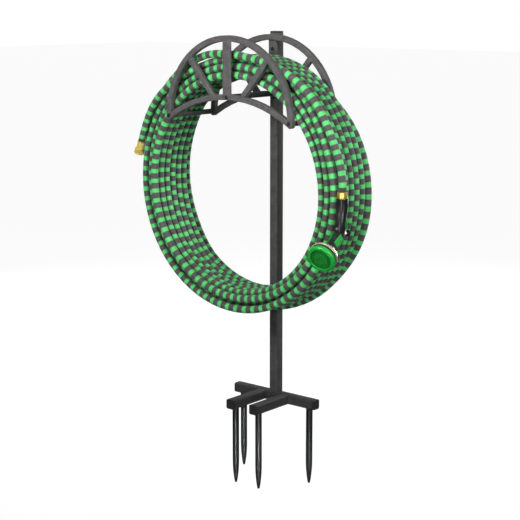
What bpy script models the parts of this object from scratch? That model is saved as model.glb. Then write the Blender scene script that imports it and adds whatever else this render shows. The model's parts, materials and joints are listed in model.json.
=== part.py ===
"""Garden hose stand: a square steel post on four ground spikes, with a sunburst cradle that carries
a coiled hose and its spray nozzle.

Metres, +Z up. The origin is on the underside of the base, on the post's axis, where the base rests
on the ground once the spikes are pushed in. -Y is the front, +X is the right as seen from the front.
"""

import math

import bmesh
import bpy
import numpy as np
from mathutils import Vector

GAP = 0.0003  # between pieces that touch

# Base: a cross bar under the post, two fingers to the front, and a spike under each bar end
BAR = 0.026
BAR_WALL = 0.0016
CROSS_LENGTH = 0.298
FINGER_END = 0.156
FINGER_X = 0.044
SPIKE_INSET = 0.0215
SPIKE_RADIUS = 0.0085
SPIKE_LENGTH = 0.232
SPIKE_TAPER = 0.070
SPIKE_TIP = 0.0022

# Post: two lengths of square tube over an inner sleeve
POST = 0.028
POST_WALL = 0.0015
POST_JOINT = 0.598
POST_TOP = 1.0915
CAP_THICK = 0.004
SLEEVE = POST - 2 * POST_WALL - 0.0006
SLEEVE_LENGTH = 0.120
SOCKET_HEIGHT = 0.075
TUBE_CORNER = 0.0035

# Cradle: two sunburst fans of bent tube, the front one turned round, joined by three struts
FAN_CENTRE = 0.857
HOOP_INNER = 0.2156
HOOP_OUTER = 0.2308
FAN_THICK = 0.015
FRONT_FACE = -0.2193
REAR_FACE = -POST / 2 - GAP
ARC_WIDTH = 0.0145
ARC_RISE = 0.0660
CORNER_DROP = 0.004
SPOKE_WIDTH = 0.0145
SPOKE_ANGLE = 49.4
CENTRE_BAR_WIDTH = 0.028
CENTRE_BAR_THICK = 0.005
STRUT_RADIUS = 0.007
STRUT_X = 0.2215
STRUT_Z = 0.858
TOP_BOLT_Z = 1.047

# Fasteners
SCREW_RADIUS = 0.0025
SCREW_HOLE = 0.0028
HEAD_RADIUS = 0.0062
HEAD_HEIGHT = 0.0034
SCREW_BITE = 0.012

# Hose: about nineteen turns in three full layers, hung round the cradle
HOSE = 0.0215
COIL_Z = 0.669
LAYER_RADIUS = 0.3095
LAYER_STEP = 0.0220
PITCH = 0.0226
FRONT_LOOP = -0.1912
INLET_ANGLE = 161.4
POINTS_PER_TURN = 24
HALF = 0.5
TURNS_OUTER, TURNS_MIDDLE, TURNS_INNER = 5.0, 5.45, 5.55
REAR_LOOP = -0.0416
DRAW_BACK = 1.3  # pitches that the outer layer makes room by at the top
TAIL_ROLL = 0.14
TAIL_LIFT = 0.003
OVER_TAIL = 0.0246
TOP_ROLL = 158
CROSS_TURNS = 19.0
LEAVE_TURNS = 19.375
SWELL = 0.012  # how far the rear loops stand back where the cradle leaves them free
NOZZLE_X, NOZZLE_Y, NOZZLE_Z = 0.382, -0.193, 0.6865

# Couplings
NUT_ACROSS = 0.0290
INLET_NUT_LENGTH = 0.020
FERRULE_LENGTH = 0.0205
OUTLET_LENGTH = 0.0165

# Spray nozzle, hanging from the hose: forward and up are measured from the end of the hose
NOZZLE_YAW = 9.5
HEAD_TILT = 24.0
FACE_FORWARD, FACE_UP = 0.122, -0.163
FACE_RADIUS = 0.0335
DIAL_RADIUS = 0.0390
LEVER_BACK, LEVER_UP = 0.020, -0.112
LEVER_BOSS = 0.0090
LEVER_HALF_WIDTH = 0.0120
LEVER_SLOT = 0.0092
INLAY_BACK = 0.088
INLAY_LEAN = 20.0
INLAY_FLAT = 0.0126

bpy.context.preferences.edit.use_global_undo = False
for old in list(bpy.data.objects):
    bpy.data.objects.remove(old, do_unlink=True)

parts = bpy.data.collections.new("hose_stand")
cutters = bpy.data.collections.new("cutters")
guides = bpy.data.collections.new("guides")
for made in (parts, cutters, guides):
    bpy.context.scene.collection.children.link(made)


def make_material(name, colour, roughness, metallic=0.0):
    made = bpy.data.materials.new(name)
    made.use_nodes = True
    shader = made.node_tree.nodes["Principled BSDF"]
    shader.inputs["Base Color"].default_value = (*colour, 1.0)
    shader.inputs["Roughness"].default_value = roughness
    shader.inputs["Metallic"].default_value = metallic
    return made


MATERIALS = {
    "frame_coat": make_material("frame_coat", (0.050, 0.050, 0.052), 0.42, 0.1),
    "black_plastic": make_material("black_plastic", (0.018, 0.018, 0.020), 0.50),
    "dark_steel": make_material("dark_steel", (0.035, 0.035, 0.038), 0.35, 0.8),
    "hose": make_material("hose", (0.06, 0.42, 0.12), 0.50),
    "brass": make_material("brass", (0.80, 0.58, 0.22), 0.25, 1.0),
    "gold_ring": make_material("gold_ring", (0.86, 0.74, 0.52), 0.22, 1.0),
    "green_plastic": make_material("green_plastic", (0.04, 0.48, 0.08), 0.35),
    "grey_plastic": make_material("grey_plastic", (0.38, 0.38, 0.38), 0.40),
    "rubber": make_material("rubber", (0.02, 0.02, 0.02), 0.80),
}


def add(name, data, slot, where=(0, 0, 0), turn=(0, 0, 0), parent=None):
    """A part of the stand, placed in the world or under its parent."""
    made = bpy.data.objects.new(name, data)
    parts.objects.link(made)
    data.materials.clear()
    data.materials.append(MATERIALS[slot])
    made.location = where
    made.rotation_euler = turn
    made.parent = parent
    return made


def settled(made, smooth=40):
    """The object as a plain mesh, with its modifiers applied and its loose caps welded."""
    bpy.context.view_layer.update()
    graph = bpy.context.evaluated_depsgraph_get()
    mesh = bpy.data.meshes.new_from_object(made.evaluated_get(graph))
    work = bmesh.new()
    work.from_mesh(mesh)
    bmesh.ops.remove_doubles(work, verts=work.verts, dist=0.000002)
    bmesh.ops.recalc_face_normals(work, faces=work.faces)
    work.to_mesh(mesh)
    work.free()
    mesh.shade_smooth()
    mesh.set_sharp_from_angle(angle=math.radians(smooth))
    name, collection = made.name, made.users_collection[0]
    slot = made.data.materials[0] if made.data.materials else None
    new = bpy.data.objects.new(name + "_mesh", mesh)
    new.parent, new.matrix_parent_inverse = made.parent, made.matrix_parent_inverse
    new.matrix_basis = made.matrix_basis
    collection.objects.link(new)
    bpy.data.objects.remove(made, do_unlink=True)
    new.name = mesh.name = name
    mesh.materials.clear()
    if slot:
        mesh.materials.append(slot)
    return new


def as_cutter(made):
    """Takes a helper solid out of the parts and hides it from the render."""
    for home in made.users_collection:
        home.objects.unlink(made)
    cutters.objects.link(made)
    made.hide_render = True
    made.display_type = "WIRE"
    return made


def combine(made, other, operation):
    step = made.modifiers.new(operation.lower(), "BOOLEAN")
    step.operation = operation
    step.object = as_cutter(other)
    return made


def arc_points(radius, start, end, count, centre=(0.0, 0.0)):
    """Points on a circle from one angle to another, in degrees."""
    angles = (math.radians(start + (end - start) * i / (count - 1)) for i in range(count))
    return [(centre[0] + radius * math.cos(a), centre[1] + radius * math.sin(a)) for a in angles]


def circle(radius, count=12, centre=(0.0, 0.0)):
    return arc_points(radius, 0, 360 - 360 / count, count, centre)


def rounded_square(side, corner, count=3):
    inner = side / 2 - corner
    points = []
    for quarter, (sx, sy) in enumerate(((1, 1), (-1, 1), (-1, -1), (1, -1))):
        points += arc_points(corner, 90 * quarter, 90 * quarter + 90, count, (sx * inner, sy * inner))
    return points


def plate(name, outlines, thick, slot, where=(0, 0, 0), turn=(0, 0, 0), parent=None, edge=0.0):
    """A flat outline with any holes in it, given its thickness, with its edges softened by edge."""
    curve = bpy.data.curves.new(name, "CURVE")
    curve.dimensions = "2D"
    curve.fill_mode = "BOTH"
    curve.extrude = thick / 2 - edge
    curve.bevel_depth = edge
    curve.bevel_resolution = 0
    curve.offset = -edge
    for outline in outlines:
        spline = curve.splines.new("POLY")
        spline.points.add(len(outline) - 1)
        for point, (x, y) in zip(spline.points, outline):
            point.co = (x, y, 0, 1)
        spline.use_cyclic_u = True
    return add(name, curve, slot, where, turn, parent)


def square_tube(name, side, wall, length, slot, where, turn=(0, 0, 0)):
    outer = rounded_square(side, TUBE_CORNER)
    inner = rounded_square(side - 2 * wall, max(TUBE_CORNER - wall, 0.0006), 2)
    return plate(name, (outer, inner), length, slot, where, turn)


def turned(name, profile, slot, steps=24, where=(0, 0, 0), turn=(0, 0, 0), parent=None, closed=False):
    """A profile of (radius, height) points spun about the local Z axis."""
    mesh = bpy.data.meshes.new(name)
    edges = [(i, i + 1) for i in range(len(profile) - 1)]
    if closed:
        edges.append((len(profile) - 1, 0))
    mesh.from_pydata([(r, 0, z) for r, z in profile], edges, [])
    made = add(name, mesh, slot, where, turn, parent)
    spin = made.modifiers.new("spin", "SCREW")
    spin.steps = spin.render_steps = steps
    spin.use_merge_vertices = True
    spin.merge_threshold = 0.00001
    spin.use_smooth_shade = True
    return made


def box(name, size, slot, where, turn=(0, 0, 0), parent=None):
    mesh = bpy.data.meshes.new(name)
    work = bmesh.new()
    bmesh.ops.create_cube(work, size=1.0)
    bmesh.ops.scale(work, vec=size, verts=work.verts)
    work.to_mesh(mesh)
    work.free()
    return add(name, mesh, slot, where, turn, parent)


def rod_cutter(name, radius, length, where, turn, parent=None, steps=12):
    profile = [(0, length / 2), (radius, length / 2), (radius, -length / 2), (0, -length / 2)]
    return turned(name, profile, "dark_steel", steps, where, turn, parent)


ALONG_X = (0, math.radians(90), 0)
ALONG_Y = (math.radians(90), 0, 0)  # local Z points to the front
BACKWARD = (math.radians(-90), 0, 0)  # local Z points to the rear


def build_base():
    mid = BAR / 2
    square_tube("base_cross_bar", BAR, BAR_WALL, CROSS_LENGTH, "frame_coat", (0, 0, mid), ALONG_X)
    near = -BAR / 2 - GAP
    length = FINGER_END + near
    for side, word in ((-1, "left"), (1, "right")):
        x = side * FINGER_X
        square_tube(
            f"base_finger_{word}", BAR, BAR_WALL, length, "frame_coat", (x, near - length / 2, mid), ALONG_Y
        )
        build_plug(f"plug_front_{word}", (x, -FINGER_END, mid), ALONG_Y)
        build_plug(f"plug_side_{word}", (side * CROSS_LENGTH / 2, 0, mid), (0, side * math.radians(90), 0))
        build_spike(f"spike_back_{word}", side * (CROSS_LENGTH / 2 - SPIKE_INSET), 0)
        build_spike(f"spike_front_{word}", x, SPIKE_INSET - FINGER_END)


def build_plug(name, where, turn):
    """A push-in end plug: a flat cap, and a stub that fills the tube's bore."""
    cap = plate(name, [rounded_square(BAR, TUBE_CORNER)], 0.0024, "black_plastic", where, turn)
    cap = settled(cap)
    direction = cap.rotation_euler.to_matrix() @ Vector((0, 0, 1))
    cap.location = Vector(where) + direction * (0.0012 + GAP)
    stub_side = BAR - 2 * BAR_WALL - 2 * GAP
    stub = plate(name + "_stub", [rounded_square(stub_side, 0.0014, 2)], 0.012, "black_plastic")
    stub = settled(stub)
    stub.parent = cap
    stub.location = (0, 0, -0.006)
    combine(cap, stub, "UNION")


def build_spike(name, x, y):
    """A round stake with a pointed end that curves in to a blunt tip."""
    taper = [
        (SPIKE_TIP + (SPIKE_RADIUS - SPIKE_TIP) * math.cos(math.radians(90 * k / 6)) ** 0.8,
         -SPIKE_LENGTH + SPIKE_TAPER * (1 - k / 6))
        for k in range(7)
    ]
    profile = [(0, -GAP), (SPIKE_RADIUS, -GAP), *taper, (0, -SPIKE_LENGTH)]
    turned(name, profile, "frame_coat", 20, (x, y, 0))


def build_post():
    foot = BAR + GAP
    lower = square_tube(
        "post_lower", POST, POST_WALL, POST_JOINT - foot, "frame_coat", (0, 0, (POST_JOINT + foot) / 2)
    )
    start = POST_JOINT + GAP
    upper = square_tube(
        "post_upper", POST, POST_WALL, POST_TOP - start, "frame_coat", (0, 0, (POST_TOP + start) / 2)
    )
    joiner = square_tube(
        "post_joiner", SLEEVE, POST_WALL, SLEEVE_LENGTH, "dark_steel", (0, 0, POST_JOINT)
    )
    socket = square_tube(
        "post_socket", SLEEVE, POST_WALL, SOCKET_HEIGHT, "frame_coat", (0, 0, foot + SOCKET_HEIGHT / 2)
    )
    lower, upper, joiner, socket = (settled(piece) for piece in (lower, upper, joiner, socket))
    # small screws from the rear hold the sleeve and the socket
    rear = (
        ("joiner_screw_lower", POST_JOINT - 0.035, (lower, joiner)),
        ("joiner_screw_upper", POST_JOINT + 0.035, (upper, joiner)),
        ("socket_screw", foot + 0.045, (lower, socket)),
    )
    for name, z, pieces in rear:
        for piece in pieces:
            hole = rod_cutter(f"{name}_hole_{piece.name}", 0.0022, 0.010, (0, POST / 2, z), BACKWARD)
            combine(piece, hole, "DIFFERENCE")
        build_screw(name, (0, POST / 2, z), BACKWARD, 0.0019, 0.008, 0.0040, 0.0022)
    # two bolts through both walls carry the cradle
    for z in (TOP_BOLT_Z, strut_places()["centre"][1]):
        hole = rod_cutter(f"post_hole_{z:.3f}", SCREW_HOLE, POST + 0.004, (0, 0, z), ALONG_Y)
        combine(upper, hole, "DIFFERENCE")
    cap = settled(
        plate("post_cap", [rounded_square(POST, TUBE_CORNER)], CAP_THICK, "black_plastic",
              (0, 0, POST_TOP + GAP + CAP_THICK / 2), edge=0.0008)
    )
    stub = settled(
        plate("post_cap_stub", [rounded_square(SLEEVE, 0.0016, 2)], 0.014, "black_plastic",
              (0, 0, POST_TOP - 0.0055))
    )
    combine(cap, stub, "UNION")


def build_screw(name, where, turn, shaft, length, head, height):
    """A domed button screw: its head stands out along local Z, its shaft goes the other way."""
    dome = [(head * math.cos(a), GAP + height * math.sin(a)) for a in np.radians((80, 60, 35, 0))]
    socket = head * 0.42
    profile = [(0, GAP + height * 0.35), (socket, GAP + height * 0.35), (socket, GAP + height * 0.93)]
    profile += [point for point in dome if point[0] > socket + 0.0004]
    profile += [(head, GAP), (shaft, GAP), (shaft, -length), (0, -length)]
    return turned(name, profile, "dark_steel", 12, where, turn)


def strut_places():
    """The three struts, in X and Z."""
    return {"left": (-STRUT_X, STRUT_Z), "right": (STRUT_X, STRUT_Z), "centre": (0.0, arc_top_centre())}


def arc_radius():
    """The radius of the shallow lower arc, through the two corners and its raised middle."""
    span = (HOOP_INNER + HOOP_OUTER) / 2
    return (span ** 2 + ARC_RISE ** 2) / (2 * ARC_RISE)


def arc_centre():
    return FAN_CENTRE - CORNER_DROP + ARC_RISE - arc_radius()


def arc_top_centre():
    return arc_centre() + arc_radius()


def hoop_outline():
    """Half a ring that runs straight down to a rounded lug at each corner."""
    mid = (HOOP_INNER + HOOP_OUTER) / 2
    lug = (HOOP_OUTER - HOOP_INNER) / 2
    low = FAN_CENTRE - CORNER_DROP
    outline = arc_points(HOOP_OUTER, 0, 180, 33, (0, FAN_CENTRE))
    outline += arc_points(lug, 180, 360, 7, (-mid, low))
    outline += arc_points(HOOP_INNER, 180, 0, 33, (0, FAN_CENTRE))
    outline += arc_points(lug, 180, 360, 7, (mid, low))
    return outline


def arc_outline():
    """The lower arc, cut square where it meets the inside of the hoop."""
    end = HOOP_INNER - GAP - 0.0003
    outer, inner = arc_radius() + ARC_WIDTH / 2, arc_radius() - ARC_WIDTH / 2
    centre = (0, arc_centre())
    outline = []
    for radius, direction in ((outer, 1), (inner, -1)):
        swing = math.degrees(math.asin(end / radius)) * direction
        outline += arc_points(radius, 90 - swing, 90 + swing, 15, centre)
    return outline


def hit(start, direction, radius, centre_z):
    """How far along a line from start a circle centred on X = 0 is met."""
    x, z = start[0], start[1] - centre_z
    along = x * direction[0] + z * direction[1]
    return -along + math.sqrt(along ** 2 - x ** 2 - z ** 2 + radius ** 2)


def spoke_outline(angle, width):
    """A bar from the lower arc to the hoop, on a ray of the hoop's centre, its ends fitted to both."""
    direction = (math.cos(math.radians(angle)), math.sin(math.radians(angle)))
    outline = []
    for radius, centre_z, order in (
        (arc_radius() + ARC_WIDTH / 2 + GAP, arc_centre(), 1),
        (HOOP_INNER - GAP - 0.0002, FAN_CENTRE, -1),
    ):
        for share in (-1, -0.5, 0, 0.5, 1):
            offset = order * share * width / 2
            start = (-direction[1] * offset, FAN_CENTRE + direction[0] * offset)
            along = hit(start, direction, radius, centre_z)
            outline.append((start[0] + direction[0] * along, start[1] + direction[1] * along))
    return outline[::-1]


def build_fan(word, face, bar_face):
    """One sunburst: hoop, lower arc, flat centre bar and two spokes. face and bar_face are its front faces."""
    middle = face + FAN_THICK / 2
    places = strut_places()
    corners = [circle(SCREW_HOLE, 10, places[side]) for side in ("left", "right")]
    plate(f"{word}_hoop", [hoop_outline(), *corners], FAN_THICK, "frame_coat",
          (0, middle, 0), ALONG_Y, edge=0.0012)
    plate(f"{word}_arc", [arc_outline(), circle(SCREW_HOLE, 10, places["centre"])], FAN_THICK, "frame_coat",
          (0, middle, 0), ALONG_Y, edge=0.0012)
    for name, angle in (("right", SPOKE_ANGLE), ("left", 180 - SPOKE_ANGLE)):
        plate(f"{word}_spoke_{name}", [spoke_outline(angle, SPOKE_WIDTH)], FAN_THICK, "frame_coat",
              (0, middle, 0), ALONG_Y, edge=0.0012)
    outlines = [spoke_outline(90, CENTRE_BAR_WIDTH)]
    if word == "rear":
        outlines.append(circle(SCREW_HOLE, 10, (0, TOP_BOLT_Z)))
    plate(f"{word}_centre_bar", outlines, CENTRE_BAR_THICK, "frame_coat",
          (0, bar_face + CENTRE_BAR_THICK / 2, 0), ALONG_Y, edge=0.0006)


def build_cradle():
    rear_front = REAR_FACE - FAN_THICK
    build_fan("front", FRONT_FACE, FRONT_FACE)
    build_fan("rear", rear_front, REAR_FACE - CENTRE_BAR_THICK)
    near, far = FRONT_FACE + FAN_THICK + GAP, rear_front - GAP
    depth = SCREW_BITE + 0.002
    for side, (x, z) in strut_places().items():
        half = (far - near) / 2
        hole = SCREW_RADIUS + GAP
        profile = [
            (0, half - depth), (hole, half - depth), (hole, half), (STRUT_RADIUS, half),
            (STRUT_RADIUS, -half), (hole, -half), (hole, depth - half), (0, depth - half),
        ]
        turned(f"strut_{side}", profile, "frame_coat", 16, (x, (near + far) / 2, z), ALONG_Y)
        reach = FAN_THICK + SCREW_BITE
        build_screw(f"cradle_screw_front_{side}", (x, FRONT_FACE, z), ALONG_Y,
                    SCREW_RADIUS, reach, HEAD_RADIUS, HEAD_HEIGHT)
        if side != "centre":
            build_screw(f"cradle_screw_rear_{side}", (x, REAR_FACE, z), BACKWARD,
                        SCREW_RADIUS, reach, HEAD_RADIUS, HEAD_HEIGHT)
    x, z = strut_places()["centre"]
    build_screw("cradle_bolt_lower", (x, POST / 2, z), BACKWARD,
                SCREW_RADIUS, POST + GAP + FAN_THICK + SCREW_BITE, HEAD_RADIUS, HEAD_HEIGHT)
    front = REAR_FACE - CENTRE_BAR_THICK
    build_screw("cradle_bolt_upper", (0, front, TOP_BOLT_Z), ALONG_Y,
                SCREW_RADIUS, POST + GAP + CENTRE_BAR_THICK + 0.007, HEAD_RADIUS, HEAD_HEIGHT)
    plate("cradle_bolt_nut", [circle(0.0055, 6), circle(SCREW_HOLE, 10)], 0.005, "dark_steel",
          (0, POST / 2 + GAP + 0.0025, TOP_BOLT_Z), ALONG_Y)


def ease(share):
    """A smooth step from 0 to 1."""
    share = min(1.0, max(0.0, share))
    return share * share * (3 - 2 * share)


def outer_depth(turns):
    """Where a turn of the outer layer lies. At the top its loops draw back for the last turn."""
    part = turns % 1.0
    wave = ease((part - 0.03) / 0.16) * (1 - ease((part - 0.24) / 0.15))
    return FRONT_LOOP + (turns - HALF) * PITCH + wave * (DRAW_BACK * PITCH - 0.0004 * round(turns - part))


def tail_place(turns):
    """The first turn, which starts on the outside of the next one and rolls over to its front side."""
    outer = LAYER_RADIUS + 2 * LAYER_STEP
    if turns > HALF:
        return outer, outer_depth(turns)
    roll = math.radians(100 + 80 * ease(turns / TAIL_ROLL))
    lift = TAIL_LIFT * (1 - ease(turns / 0.08))
    return outer + PITCH * math.sin(roll) + lift, outer_depth(turns + 1) + PITCH * math.cos(roll)


def last_place(turns):
    """The last turn, which passes over the tail, dips in front of it at the top and comes out over it."""
    part = turns - CROSS_TURNS
    radius, depth = tail_place(part)
    roll = 26 * ease((part + 0.02) / 0.1) - 4
    roll += (TOP_ROLL - 22) * ease((part - 0.045) / 0.175)
    roll = math.radians(roll - (TOP_ROLL - 90) * ease((part - 0.225) / 0.15))
    return radius + OVER_TAIL * math.sin(roll), depth + OVER_TAIL * math.cos(roll)


def loop_place(turns):
    """The coil's radius and depth after so many turns from the inlet end.

    The hose winds on from the front in the outer layer, turns back in the middle one and again in the
    inner one, climbs out along the rear in the last turns, and crosses the outside to the front.
    """
    inner, middle, outer = (LAYER_RADIUS + LAYER_STEP * k for k in range(3))
    stages = np.cumsum([HALF, TURNS_OUTER, HALF, TURNS_MIDDLE, HALF, TURNS_INNER])
    rear = FRONT_LOOP + TURNS_OUTER * PITCH
    front = rear + (HALF - TURNS_MIDDLE) * PITCH
    last = front + TURNS_INNER * PITCH
    if turns < stages[0]:
        return tail_place(turns)
    if turns < stages[1]:
        return outer, outer_depth(turns)
    if turns < stages[2]:
        share = (turns - stages[1]) / HALF
        return outer - LAYER_STEP * ease(share), rear + PITCH * (share / 2 + 1.5 * (share - share * share))
    if turns < stages[3]:
        return middle, rear + (HALF - turns + stages[2]) * PITCH
    if turns < stages[4]:
        share = (turns - stages[3]) / HALF
        return middle - LAYER_STEP * ease(share), front - PITCH / 2 * (share - share * share)
    if turns < stages[5]:
        past = turns - stages[4]
        return inner, front + past * ease((past - 0.4) / 0.3) * PITCH
    if turns >= CROSS_TURNS:
        return last_place(turns)
    past = turns - stages[5]
    climbs = ease(past / HALF) + ease((past - 0.75) / 0.3) + ease((past - 1.03) / 0.24)
    depth = last + (REAR_LOOP - last) * ease(past / 0.38)
    share = min(1.0, max(0.0, (past - 1.24) / 0.26))
    radius_over, depth_over = last_place(CROSS_TURNS)
    lift = radius_over - inner - 3 * LAYER_STEP
    return inner + LAYER_STEP * climbs + lift * ease(share), depth + (depth_over - depth) * (share + ease(share)) / 2


def coil_point(turns, grow):
    """A point of the coil, whose rear loops stand back at the sides."""
    radius, depth = loop_place(turns)
    angle = math.radians(INLET_ANGLE) - math.tau * turns
    side = ease((abs(math.cos(angle)) - 0.62) / 0.36)
    depth += SWELL * side * (depth - FRONT_LOOP) / (REAR_LOOP - FRONT_LOOP)
    return Vector((radius * grow * math.cos(angle), depth, COIL_Z + radius * grow * math.sin(angle)))


def inlet_direction():
    """The way the hose leaves the inlet coupling."""
    angle = math.radians(INLET_ANGLE)
    return Vector((math.sin(angle), 0, -math.cos(angle)))


def hose_route(per_turn):
    """The hose's centreline from the inlet coupling to the nozzle's, with straight ends.

    The corners of each loop lie a little outside its circle, so that the flats between them touch it.
    """
    grow = 1 / math.cos(math.pi / per_turn)
    count = round(LEAVE_TURNS * per_turn)
    points = [coil_point(i / per_turn, grow) for i in range(count + 1)]
    points.insert(0, points[0] - inlet_direction() * HOSE)
    # the last stretch swings out from the coil and hangs straight down
    start, end = points[-1], Vector((NOZZLE_X, NOZZLE_Y, NOZZLE_Z + HOSE))
    reach = (end - start).length
    angle = math.radians(INLET_ANGLE) - math.tau * count / per_turn
    leave = Vector((math.sin(angle), (end.y - start.y) / reach * 0.6, -math.cos(angle))) * reach
    arrive = Vector((0, 0, -reach))
    pieces = max(2, round(reach / (math.tau * 0.35 / per_turn)))
    for i in range(1, pieces + 1):
        s = i / pieces
        points.append(
            start * (2 * s**3 - 3 * s**2 + 1) + leave * (s**3 - 2 * s**2 + s)
            + end * (3 * s**2 - 2 * s**3) + arrive * (s**3 - s**2)
        )
    points.append(Vector((NOZZLE_X, NOZZLE_Y, NOZZLE_Z)))
    return points


def least_gap(points, parts_of=3, apart=0.3):
    """The least clear space between two stretches of the hose that are not next to each other."""
    line = np.array([list(a.lerp(b, k / parts_of)) for a, b in zip(points, points[1:]) for k in range(parts_of)])
    along = np.concatenate([[0], np.cumsum(np.linalg.norm(np.diff(line, axis=0), axis=1))])
    least = math.inf
    for i in range(len(line)):
        others = line[along > along[i] + apart]
        if len(others):
            least = min(least, np.linalg.norm(others - line[i], axis=1).min())
    return least - HOSE


def build_hose():
    points = hose_route(POINTS_PER_TURN)
    curve = bpy.data.curves.new("hose_coil", "CURVE")
    curve.dimensions = "3D"
    curve.bevel_depth = HOSE / 2
    curve.bevel_resolution = 1
    curve.use_fill_caps = True
    spline = curve.splines.new("POLY")
    spline.points.add(len(points) - 1)
    for point, co in zip(spline.points, points):
        point.co = (*co, 1)
    add("hose_coil", curve, "hose")
    length = sum((b - a).length for a, b in zip(points, points[1:]))
    print(f"hose length {length:.2f} m, least gap to itself {least_gap(points) * 1000:.2f} mm")


def frame_at(name, where, turn=None, z_to=None, parent=None):
    """An empty that places a group of pieces. z_to points its Z axis along a direction."""
    made = bpy.data.objects.new(name, None)
    guides.objects.link(made)
    made.parent = parent
    made.location = where
    if z_to is not None:
        made.rotation_euler = Vector(z_to).to_track_quat("Z", "Y").to_euler()
    elif turn is not None:
        made.rotation_euler = turn
    return made


def build_inlet():
    """The tap end: a crimped ferrule, and a swivel nut with its washer. Local Z runs away from the hose."""
    start = hose_route(POINTS_PER_TURN)[0]
    place = frame_at("inlet_frame", start, z_to=-inlet_direction())
    sleeve, neck, flange = 0.0128, 0.0090, 0.0110
    nut_from = FERRULE_LENGTH + GAP
    profile = [
        (0.0062, nut_from + 0.0052), (flange, nut_from + 0.0052), (flange, nut_from + 0.0030),
        (neck, nut_from + 0.0030), (neck, FERRULE_LENGTH), (0.0112, FERRULE_LENGTH), (sleeve, 0.0180),
        (sleeve, 0.0120), (sleeve - 0.0008, 0.0110), (sleeve, 0.0100), (sleeve, GAP), (0.0062, GAP),
    ]
    turned("inlet_ferrule", profile, "brass", 20, parent=place, closed=True)
    nut = settled(plate("inlet_nut", [circle(NUT_ACROSS / 2, 8)], INLET_NUT_LENGTH, "brass",
                        (0, 0, nut_from + INLET_NUT_LENGTH / 2), parent=place, edge=0.0010))
    bore = [
        (0, nut_from + 0.030), (0.0130, nut_from + 0.030), (0.0130, nut_from + 0.0024),
        (neck + 0.0006, nut_from + 0.0024), (neck + 0.0006, nut_from - 0.002), (0, nut_from - 0.002),
    ]
    combine(nut, turned("inlet_nut_bore", bore, "brass", 20, parent=place), "DIFFERENCE")
    low, high = nut_from + 0.0052 + GAP, nut_from + 0.0082
    washer = [(0.0075, high), (0.0124, high), (0.0124, low), (0.0075, low)]
    turned("inlet_washer", washer, "rubber", 16, parent=place, closed=True)


def build_nozzle():
    place = frame_at("nozzle_frame", (NOZZLE_X, NOZZLE_Y, NOZZLE_Z), turn=(0, 0, math.radians(NOZZLE_YAW)))
    # local -Y is the nozzle's front, and it hangs down from local Z = 0
    tilt = math.radians(90 + HEAD_TILT)
    head = frame_at("head_frame", (0, -FACE_FORWARD, FACE_UP), turn=(tilt, 0, 0), parent=place)
    build_outlet(place)
    build_nozzle_body(place, head)
    build_head(head)
    build_controls(place, head)


def build_outlet(place):
    """The hose's male coupling: an eight-sided collar with a threaded spigot up into the grip."""
    collar = settled(plate("outlet_coupling", [circle(NUT_ACROSS / 2, 8)], OUTLET_LENGTH, "brass",
                           (0, 0, -GAP - OUTLET_LENGTH / 2), parent=place, edge=0.0012))
    low = -GAP - OUTLET_LENGTH
    spigot = [(0, low + 0.004), (0.0126, low + 0.004), (0.0126, low - 0.0110), (0, low - 0.0110)]
    combine(collar, turned("outlet_spigot", spigot, "brass", 20, parent=place), "UNION")
    bore = [(0, 0.002), (0.0062, 0.002), (0.0062, low - 0.015), (0, low - 0.015)]
    combine(collar, turned("outlet_bore", bore, "brass", 12, parent=place), "DIFFERENCE")
    top, bottom = low - 0.0110 - GAP, low - 0.0136
    washer = [(0.0070, top), (0.0124, top), (0.0124, bottom), (0.0070, bottom)]
    turned("outlet_washer", washer, "rubber", 16, parent=place, closed=True)


def tapered(name, points, place):
    """A round form of changing radius through points of (forward, up, radius)."""
    curve = bpy.data.curves.new(name, "CURVE")
    curve.dimensions = "3D"
    curve.bevel_depth = 1.0
    curve.bevel_resolution = 4
    curve.use_fill_caps = True
    spline = curve.splines.new("POLY")
    spline.points.add(len(points) - 1)
    for point, (forward, up, radius) in zip(spline.points, points):
        point.co = (0, -forward, up, 1)
        point.radius = radius
    return settled(add(name, curve, "black_plastic", parent=place))


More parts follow.
